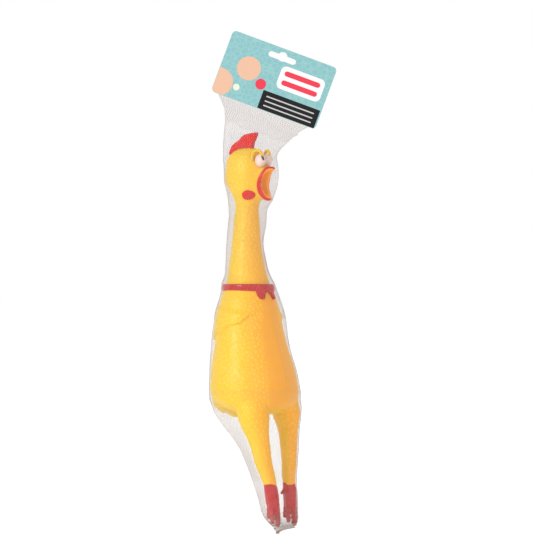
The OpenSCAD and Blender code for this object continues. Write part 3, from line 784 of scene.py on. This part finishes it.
def bow_sdf(f, u, z):
    d = -z
    fs = TF[0](max(d, 236)) + TF[2](max(d, 236)) * np.sqrt(np.clip(1 - (u / TF[1](max(d, 236))) ** 2, 0.05, 1))
    fs = np.maximum(fs, 0.9 + np.sqrt(np.clip(26.6**2 - u**2, 1, None)) - 0.8)
    w = poly_dist(np.abs(u), np.full_like(u, z + 238.0), BOWL)
    crease = 0.35 * np.cos(np.arctan2(z + 238.0, np.abs(u)) * 9)
    t = 1.5 + crease * step(2, 6, np.abs(u)) + 0.9 * np.exp(-(((np.abs(u) - 8) / 5) ** 2))
    v = smax(w - 0.2, np.abs(f - fs - 0.6) - t, 1.4)
    knot = np.sqrt(((f - fs - 1.0) / 2.6) ** 2 + (u / 3.2) ** 2 + ((z + 237.6) / 4.0) ** 2) - 1
    return smin(v, knot * 2.6, 0.8)


bow, _ = local_sdf("bow_moulded", bow_sdf, (14, -15, -253), (34, 15, -230), 0.55, M_CRIM, BYAW)
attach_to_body(bow, "torso")
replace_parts(bow, "bow_tie")


# ------------------------------------------------------------------ feet
def foot_sdf(f, u, z):
    v = capsule(f, u, z, (43.2, 15.3, -438), (45.2, 14.2, -455), 6.6, 6.3)
    v = smin(v, capsule(f, u, z, (45, 14.8, -444), (46.4, 13.8, -459), 6.4, 6.0), 2.0)
    v = v + 0.16 * np.cos(u * 3.1 + f * 1.2) * step(-443, -449, np.full_like(f, z))
    wave = 0.3 * np.cos(z * 1.35) * step(-452, -460, np.full_like(f, z))
    for a, b, ra, rb in (((46.6, 18.4, -449), (49.2, 18.4, -475), 3.2, 2.4), ((48.8, 13.9, -449), (51.8, 13.0, -478.5), 3.3, 2.5),
                         ((46.4, 9.6, -449), (48.6, 8.0, -475), 3.1, 2.3), ((42.0, 13.6, -452), (39.8, 13.0, -470.6), 3.2, 2.3)):
        v = smin(v, capsule(f, u, z, a, b, ra, rb) + wave, 0.45)
    return smin(v, capsule(f, u, z, (42.6, 11.0, -441), (40.6, 6.9, -447.5), 2.3, 1.3), 1.2)


for side, word in ((-1, "right"), (1, "left")):
    ob, _ = local_sdf("foot_moulded_" + word, foot_sdf, (34, 2, -486), (56, 24, -428), 0.5, M_CRIM, BYAW, side)
    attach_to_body(ob, word + "_foot")
    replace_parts(ob, "foot_" + word)

M_GLUE = principled("hot_melt_glue", lin(222, 216, 198), rough=0.3, noise=(220, 0.08))
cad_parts["glue_strips"].data.materials.clear()
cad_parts["glue_strips"].data.materials.append(M_GLUE)
for n in ("noise_maker_barrel", "noise_maker_flange", "reed_seat", "reed_wedge"):
    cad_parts[n].data.materials.clear()
    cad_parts[n].data.materials.append(M_PLASTIC)
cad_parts["reed"].data.materials.clear()
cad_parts["reed"].data.materials.append(M_REED)

# ------------------------------------------------------------------ the net
# Outline of the bag seen from the front: [x, z] down its left side and down its right side.
NET_L = np.array([[-67.2, -40.2], [-62.5, -46], [-59.9, -51.5], [-58.9, -63.9], [-60, -76], [-61, -88.6], [-61, -105], [-58.9, -125.7], [-55.8, -146.3],
                  [-54.8, -161.7], [-56.9, -182.3], [-57.9, -197.8], [-58.9, -223.5], [-63, -243], [-69.2, -264.7], [-72.5, -285], [-74.9, -311],
                  [-75.4, -352.3], [-70.2, -366.7], [-62, -379], [-51.7, -391.4], [-43.5, -403.8], [-38.3, -416.1], [-33.2, -428.5], [-29, -440.8],
                  [-24.9, -453.2], [-21.8, -465.6], [-18.7, -471.7], [-12.6, -477.9], [-8.6, -482.5]])
NET_R = np.array([[26.6, -73.1], [20, -74.6], [15.2, -76.2], [10.1, -82.4], [3.9, -88.6], [-2.3, -94.8], [-6.9, -100.9], [-4.3, -107.1], [-3.3, -120.5],
                  [-4.3, -131.8], [-6.4, -138], [-10.5, -144.2], [-15.7, -150.4], [-17.7, -157.6], [-15.7, -165.8], [-16.7, -175.1], [-18.7, -181.3],
                  [-20.8, -193.6], [-18.7, -199.8], [-16.7, -206], [-14.6, -221.5], [-7.4, -236.9], [-1.2, -249.3], [4.2, -267.8], [6.5, -292.5],
                  [9.1, -304.9], [12.5, -317.2], [16.5, -329.6], [18.8, -342], [19.9, -354.3], [19.7, -366.7], [17.8, -379], [16.6, -391.4],
                  [15.5, -416.1], [14.4, -434.7], [15.5, -455.3], [13.7, -471.7], [9.6, -477.9], [-2.6, -482.5]])
DROP = -57.3


def card_point(a, c, y=0.0):
    """A point in the row frame from the card's own across and up millimetres."""
    return np.array([a * CE[0] + c * CT[0], y, a * CE[2] + c * CT[2]])


rows = []  # each row: left end, right end, y and roundness of each end, and how much it opens
for c in (-52.5, -55, -57.6):
    rows.append((card_point(-49.5, c), card_point(50.4, c), 0, 0, 0.3, 0.3, 0))
nf = 24
lx, rx = (lambda z, T=T: np.interp(-z, -T[:, 1], T[:, 0]) for T in (NET_L, NET_R))
for i in range(1, nf + 1):
    t = i / nf
    zl, zr = -40.2 - 64.8 * t, -73.1 - 31.9 * t
    L, R = np.array([lx(zl), 0, zl]), np.array([rx(zr), 0, zr])
    if i < 4:
        L = card_point(-49.5, DROP) * (1 - i / 4) + L * (i / 4)
    o = step(0, 1, t)
    rows.append((L, R, 10 * o, -7 * o, 0.4 + 7.5 * o, 0.4 + 4.5 * o, t))
z = -105.0
ROW = 2.5
while z > -482:
    z -= ROW
    yl = np.interp(-z, [105, 150, 165, 240, 300, 366, 440, 482], [10, 8, 8, 9, 14, 24, -6, -16])
    yr = np.interp(-z, [105, 146, 165, 240, 300, 400, 482], [-7, -8, -5, -6, -12, -16, -24])
    rl = np.interp(-z, [105, 150, 240, 366, 400, 482], [8, 7, 8, 5, 4, 2])
    rr_ = np.interp(-z, [105, 146, 158, 240, 366, 482], [5, 3.5, 4, 6, 6, 2])
    rows.append((np.array([lx(z), 0, z]), np.array([rx(z), 0, z]), yl, yr, rl, rr_, 1))
ND = 180
th = np.linspace(0, 2 * math.pi, ND, endpoint=False)
dirs = np.stack([np.cos(th), np.sin(th)], 1)
solids = [BP]
for o in (comb, lips, collar, bow, bpy.data.objects["foot_moulded_right"], bpy.data.objects["foot_moulded_left"],
          bpy.data.objects["eye_right"], bpy.data.objects["eye_left"], bpy.data.objects["wattle_right"]):
    c = np.zeros(len(o.data.vertices) * 3, np.float32)
    o.data.vertices.foreach_get("co", c)
    solids.append(c.reshape(-1, 3).astype(float) * 1000)
CLOUD = np.concatenate(solids)
sup = np.full((len(rows), ND), -1e9)
strut = np.zeros((len(rows), ND))
for i, (L, R, yl, yr, rl, rr_, t) in enumerate(rows):
    e = (R - L)[[0, 2]]
    wdt = np.linalg.norm(e)
    e = e / wdt
    rel = CLOUD[:, [0, 2]] - L[[0, 2]]
    qd = rel @ np.array([-e[1], e[0]])
    near_row = np.abs(qd) < 2.2
    if t > 0 and near_row.sum() > 3:
        pts = np.stack([rel[near_row] @ e, CLOUD[near_row, 1]], 1)
        sup[i] = (dirs @ pts.T).max(1) + 0.75
    strut[i] = np.maximum(rl * dirs[:, 0] + yl * dirs[:, 1] + rl, (wdt - rr_) * dirs[:, 0] + yr * dirs[:, 1] + rr_)
full = np.maximum(sup, strut)


def blur_rows(A, n):
    for _ in range(n):
        B = A.copy()
        B[1:-1] = 0.25 * A[:-2] + 0.5 * A[1:-1] + 0.25 * A[2:]
        A = B
    return A


k = np.array([r[6] >= 1 for r in rows])
for _ in range(14):  # a taut net bridges hollows, and never sinks into the chicken
    s2 = blur_rows(full, 1)
    full = np.where(k[:, None], np.maximum(np.maximum(s2, sup), full * 0.5 + s2 * 0.5), np.maximum(s2, np.maximum(sup, strut)))
full[:3] = strut[:3]
M = 144
NP_ = np.zeros((len(rows), M, 3))
dt = th[1] - th[0]
for i, (L, R, yl, yr, rl, rr_, t) in enumerate(rows):
    h = full[i]
    h2 = np.roll(h, -1)
    tang = (h2 - h * math.cos(dt)) / math.sin(dt)  # where this tangent line meets the next
    pt = h[:, None] * dirs + tang[:, None] * np.stack([-dirs[:, 1], dirs[:, 0]], 1)
    seg = np.linalg.norm(np.roll(pt, -1, 0) - pt, axis=1)
    start = ND // 2
    pt = np.roll(pt, -start, 0)
    seg = np.roll(seg, -start)
    cum = np.r_[0, np.cumsum(seg)]
    loop = np.vstack([pt, pt[:1]])
    q_ = np.linspace(0, cum[-1], M, endpoint=False)
    px, py = np.interp(q_, cum, loop[:, 0]), np.interp(q_, cum, loop[:, 1])
    for _ in range(2):
        px = 0.25 * np.roll(px, 1) + 0.5 * px + 0.25 * np.roll(px, -1)
        py = 0.25 * np.roll(py, 1) + 0.5 * py + 0.25 * np.roll(py, -1)
    e = R - L
    e = e / np.linalg.norm(e)
    NP_[i] = L + px[:, None] * e
    NP_[i, :, 1] = py
# the bag's end draws in to its heat seal
last = NP_[-1].copy()
seal = np.array([-5.4, -21.5, 0])
for j, (kk, zz) in enumerate(((0.62, -484.2), (0.34, -485.4), (0.17, -486.8), (0.11, -488.3))):
    ring = seal + (last - [last[:, 0].mean(), last[:, 1].mean(), 0]) * [kk, kk, 0]
    ring[:, 2] = zz
    ring[:, 0] += (last[:, 0].mean() - seal[0]) * (1 - (j + 1) / 4) * 0.5
    NP_ = np.concatenate([NP_, ring[None]])
NR = len(NP_)
flatP = NP_.reshape(-1, 3)
NQUAD = grid_faces(NR, M)
NN = vnormals(flatP, NQUAD)
out = np.sign(((flatP - NP_.mean(1).repeat(M, 0)) * NN).sum(1).mean())
NN *= out
if out < 0:
    NQUAD = NQUAD[:, ::-1]

# The net is white; its thread and film colours are darkened to grey brown as painted shade, for the grey that shadow
# and refraction give its fine threads.
M_NET = principled("net_thread", lin(178, 164, 156), rough=0.7, spec=0.05)
M_VEIL = principled("net_film", lin(118, 103, 95), rough=0.8, alpha=0.07, spec=0.0)
M_VEILFOOT = principled("net_film_thin", lin(118, 103, 95), rough=0.8, alpha=0.035, spec=0.0)
M_VEILTOP = principled("net_film_gathered", lin(150, 138, 132), rough=0.8, alpha=0.15, spec=0.0)


def thread_mesh(radius):
    """Crossing threads, each a fine tube, that pass down the bag along its lattice."""
    P, Q = [], []
    base = 0
    P3, N3 = flatP.reshape(NR, M, 3), NN.reshape(NR, M, 3)
    i = np.arange(NR)
    for sgn in (1, -1):
        for j0 in range(0, M, 2):
            j = (j0 + sgn * i) % M
            line, nrm = P3[i, j] + N3[i, j] * (0.12 * sgn), N3[i, j]
            tg = np.gradient(line, axis=0)
            tg /= np.linalg.norm(tg, axis=1, keepdims=True) + 1e-9
            b = np.cross(tg, nrm)
            b /= np.linalg.norm(b, axis=1, keepdims=True) + 1e-9
            a = np.cross(b, tg)
            ring = np.stack([line + radius * (math.cos(t) * a + math.sin(t) * b) for t in (0, 2.094, 4.189)], 1)
            P.append(ring.reshape(-1, 3))
            Q.append(grid_faces(NR, 3) + base)
            base += NR * 3
    return np.concatenate(P), np.concatenate(Q)


TP, TQ = thread_mesh(0.065)


def net_zone(C):
    k = zone(C)
    a = C @ CT
    up = (k == 0) & (a > DROP - 24.0)
    k[up] = -1
    return k


def attach_net(ob, k):
    if k == -1:
        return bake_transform(ob)
    return attach(ob, k, -1)


ZN = {-1: "top", 0: "head", 1: "jaw", 2: "neck_upper", 3: "neck_mid", 4: "neck_lower", 5: "neck_base", 6: "body", 7: "hip", 8: "leg", 9: "ankle", 10: "foot"}
REPL = {-1: ("net_header_hem",), 0: ("net_head_sleeve",), 2: ("net_neck_upper",), 4: ("net_neck_lower",), 6: ("net_body_sleeve",), 8: ("net_leg_sleeve",),
        10: ("net_foot_sleeve", "net_end_seal")}
vz, tz = net_zone(flatP[NQUAD].mean(1)), net_zone(TP[TQ].mean(1))
# the frayed end below the heat seal
fray_p, fray_q, base = [], [], 0
for i in range(16):
    a = i * 2.4
    p0 = seal + [1.5 * math.cos(a), 1.2 * math.sin(a), -487.2]
    tipp = p0 + [rng.normal(0, 1.1) + 0.5, rng.normal(0, 0.8), -1.6 - 1.0 * rng.random()]
    line = np.array([p0 + (tipp - p0) * t + [0.5 * math.sin(3 * t + a) * t, 0, 0] for t in np.linspace(0, 1, 5)])
    for pt in line:
        fray_p += [pt + 0.17 * np.array([math.cos(t), math.sin(t), 0]) for t in (0, 2.094, 4.189)]
    fray_q.append(grid_faces(5, 3) + base)
    base += 15
fray = build("net_frayed_end", np.array(fray_p), np.concatenate(fray_q), M_NET)
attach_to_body(fray, "right_foot")
net_facts = []
for k, name in ZN.items():
    q, (p,) = part_of(TQ, tz == k, TP)
    thr = build("net_threads_" + name, p, q, M_NET)
    attach_net(thr, k)
    q, (p,) = part_of(NQUAD, vz == k, flatP)
    veil = build("net_film_" + name, p, q, M_VEILTOP if k < 0 else M_VEILFOOT if k > 9 else M_VEIL)
    attach_net(veil, k)
    if k in REPL:
        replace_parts(veil, *REPL[k])
    a3 = p[q]
    area = 0.5 * np.linalg.norm(np.cross(a3[:, 2] - a3[:, 0], a3[:, 3] - a3[:, 1]), axis=1).sum() * 1e-6
    ids = np.isin(np.arange(NR), np.unique(NQUAD[vz == k] // M))
    girth = np.mean([np.linalg.norm(np.roll(NP_[i], -1, 0) - NP_[i], axis=1).sum() for i in np.flatnonzero(ids)]) * 0.001
    net_facts.append((name, round(girth, 3), round(area / girth, 3)))
print("net", NR, "rows", len(TQ), "thread faces", net_facts)

# ------------------------------------------------------------------ the header card
M_CARD = principled("card_aqua", 0.53 * lin(150, 208, 210), rough=0.45, coat=0.1, coat_rough=0.2, spec=0.2)
nt = M_CARD.node_tree
tc = nt.nodes.new("ShaderNodeTexCoord")
vo = nt.nodes.new("ShaderNodeTexVoronoi")
vo.feature = "DISTANCE_TO_EDGE"
vo.inputs["Scale"].default_value = 190
nt.links.new(tc.outputs["Object"], vo.inputs["Vector"])
cr = nt.nodes.new("ShaderNodeValToRGB")
cr.color_ramp.elements[0].position, cr.color_ramp.elements[1].position = 0.02, 0.12
cr.color_ramp.elements[0].color = (*(0.53 * lin(164, 216, 216)), 1)
cr.color_ramp.elements[1].color = (*(0.53 * lin(148, 206, 209)), 1)
nt.links.new(vo.outputs["Distance"], cr.inputs["Fac"])
nt.links.new(cr.outputs["Color"], nt.nodes["Principled BSDF"].inputs["Base Color"])
INKS = {"white": lin(250, 250, 250), "black": lin(22, 20, 22), "red": lin(240, 62, 84), "peach": lin(236, 190, 160), "cream": lin(238, 238, 218),
        "dark": lin(44, 41, 43), "yellow": lin(240, 205, 60), "blue": lin(90, 140, 200), "pink": lin(240, 150, 180), "grey": lin(205, 205, 205)}
INK = {n: principled("ink_" + n, 0.62 * c, rough=0.45, coat=0.05, coat_rough=0.2, spec=0.15) for n, c in INKS.items()}


def card_space(p):
    p = np.asarray(p, float)
    return p[:, :1] * CE + p[:, 2:] * CT + np.stack([0 * p[:, 1], p[:, 1], 0 * p[:, 1]], 1)


def card_shape(name, loops, y, thick, mat, bevel=0.0):
    """A flat piece of card or ink, lying in the card's plane; the first loop is its edge and the others are holes."""
    cu = bpy.data.curves.new(name, "CURVE")
    cu.dimensions, cu.fill_mode = "2D", "BOTH"
    cu.extrude, cu.bevel_depth, cu.bevel_resolution = thick / 2 - bevel, bevel, 1
    for lp in loops:
        sp_ = cu.splines.new("POLY")
        sp_.points.add(len(lp) - 1)
        for pt, (a, b) in zip(sp_.points, lp):
            pt.co = (a, b, 0, 1)
        sp_.use_cyclic_u = True
    tmp = bpy.data.objects.new(name + "_c", cu)
    scene.collection.objects.link(tmp)
    dg = bpy.context.evaluated_depsgraph_get()
    me = bpy.data.meshes.new_from_object(tmp.evaluated_get(dg))
    bpy.data.objects.remove(tmp)
    c = np.zeros(len(me.vertices) * 3, np.float32)
    me.vertices.foreach_get("co", c)
    c = c.reshape(-1, 3).astype(float)
    w = card_space(np.stack([c[:, 0], y - c[:, 2], c[:, 1]], 1)) * 0.001
    me.vertices.foreach_set("co", w.astype(np.float32).ravel())
    me.name = name
    me.materials.clear()
    me.materials.append(mat)
    me.update()
    ob = bpy.data.objects.new(name, me)
    scene.collection.objects.link(ob)
    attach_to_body(ob, "card")
    return ob


def arc(cx, cy, r, a0, a1, n=10, ry=None):
    return [(cx + r * math.cos(math.radians(a0 + (a1 - a0) * i / n)), cy + (ry or r) * math.sin(math.radians(a0 + (a1 - a0) * i / n))) for i in range(n + 1)]


def rounded(x0, y0, x1, y1, r):
    return arc(x1 - r, y1 - r, r, 0, 90) + arc(x0 + r, y1 - r, r, 90, 180) + arc(x0 + r, y0 + r, r, 180, 270) + arc(x1 - r, y0 + r, r, 270, 360)


def bar(x0, y0, x1, y1, w):
    d = math.degrees(math.atan2(y1 - y0, x1 - x0))
    return arc(x1, y1, w / 2, d - 90, d + 90) + arc(x0, y0, w / 2, d + 90, d + 270)


outline = rounded(-57, DROP, 57, 9.7, 4.4)
a1 = math.degrees(math.asin((3.0 - 1.2) / 5.0))
hole = arc(12, 0, 3, -90, 90, 12) + arc(0, 1.2, 5, a1, 180 - a1, 18) + arc(-12, 0, 3, 90, 270, 12) + arc(0, 1.2, 5, 180 + 57.1, 360 - 57.1, 8)
front = card_shape("header_card_leaves", [outline, hole], -0.85, 0.5, M_CARD, 0.08)
M_CARDBACK = principled("card_back", lin(236, 238, 236), rough=0.55, noise=(90, 0.04))
back = card_shape("header_card_back", [outline, hole], 0.85, 0.5, M_CARDBACK, 0.08)
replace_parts(front, "header_card")
# the fold along the top edge
xs, an = np.linspace(-52.6, 52.6, 40), np.radians(np.linspace(-90, 90, 14))
p = [[x, r * math.sin(a), 9.7 - 1.1 + r * math.cos(a)] for r in (1.1, 0.6) for x in xs for a in an]
q = np.concatenate([grid_faces(40, 14, wrap=False), grid_faces(40, 14, wrap=False)[:, ::-1] + 560])
fold = build("header_card_fold", card_space(p), q, M_CARD)
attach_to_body(fold, "card")


def ink(name, loops, level, mat):
    return card_shape("print_" + name, loops, -1.1 - 0.03 * level, 0.06, INK[mat])


# left: plain discs, with no picture
ink("corner", [[(-56.6, -30.2), (-48, -31.5), (-43.2, -34.5), (-39.5, -39), (-38.2, -45), (-39.4, -51), (-43.8, -57)] + arc(-52.6, DROP + 4.5, 4.2, 270, 180, 6)], 1, "peach")
ink("disc_large", [arc(-28.5, -22.0, 12.4, 0, 352, 44)], 1, "peach")
ink("disc_medium", [arc(-11.5, -33.0, 5.6, 0, 352, 36)], 1, "red")
ink("disc_small", [arc(-34.0, -44.5, 3.4, 0, 352, 30)], 1, "cream")
# right: a plain white block with two plain stripes
ink("block", [rounded(3.4, -30.6, 51.0, -6.6, 5.4)], 1, "white")
ink("stripe_0", [bar(10.5, -13.8, 44.0, -13.8, 5.4)], 2, "red")
ink("stripe_1", [bar(10.5, -23.6, 44.0, -23.6, 5.4)], 2, "red")
# below: a plain dark panel with plain lines
ink("panel", [rounded(-6.5, -57.0, 55.6, -37.4, 0.4)], 1, "black")
for i, y in enumerate((-42.6, -47.6, -52.4)):
    ink(f"panel_line_{i}", [bar(-1.0, y, 50.0, y, 1.3)], 2, "grey")


# ------------------------------------------------------------------ camera, floor and light
world = bpy.data.worlds.new("studio")
scene.world = world
world.use_nodes = True
world.node_tree.nodes["Background"].inputs[0].default_value = (1, 1, 1, 1)
world.node_tree.nodes["Background"].inputs[1].default_value = 1.0
scene.view_settings.view_transform = "Standard"
scene.view_settings.look = "None"
cam = bpy.data.cameras.new("camera")
co = bpy.data.objects.new("camera", cam)
scene.collection.objects.link(co)
scene.camera = co
co.location = (-0.0162, -4.0, -0.2215)
co.rotation_euler = (math.pi / 2, 0, 0)
cam.lens = 256
cam.clip_end = 200


def area_light(name, at, to, size, power):
    li = bpy.data.lights.new(name, "AREA")
    li.energy, li.size, li.shape = power, size, "DISK"
    ob = bpy.data.objects.new(name, li)
    scene.collection.objects.link(ob)
    ob.location = at
    ob.rotation_euler = (Vector(to) - Vector(at)).to_track_quat("-Z", "Y").to_euler()


area_light("key", (-1.1, -1.2, 0.35), (0, 0, -0.25), 0.4, 16)
area_light("fill", (0.6, -1.6, 0.3), (0, 0, -0.25), 0.6, 5)
floor_mat = principled("floor_white", (0.97, 0.97, 0.97), rough=0.9)
floor_mat.node_tree.nodes["Principled BSDF"].inputs["Emission Color"].default_value = (1, 1, 1, 1)
floor_mat.node_tree.nodes["Principled BSDF"].inputs["Emission Strength"].default_value = 0.15
floor = build("floor", np.array([[-30000, -30000, -622], [30000, -30000, -622], [30000, 30000, -622], [-30000, 30000, -622]], float), np.array([[0, 1, 2, 3]]), floor_mat)

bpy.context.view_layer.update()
for n in sorted(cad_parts):
    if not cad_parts[n].hide_render:
        print("shown", n)
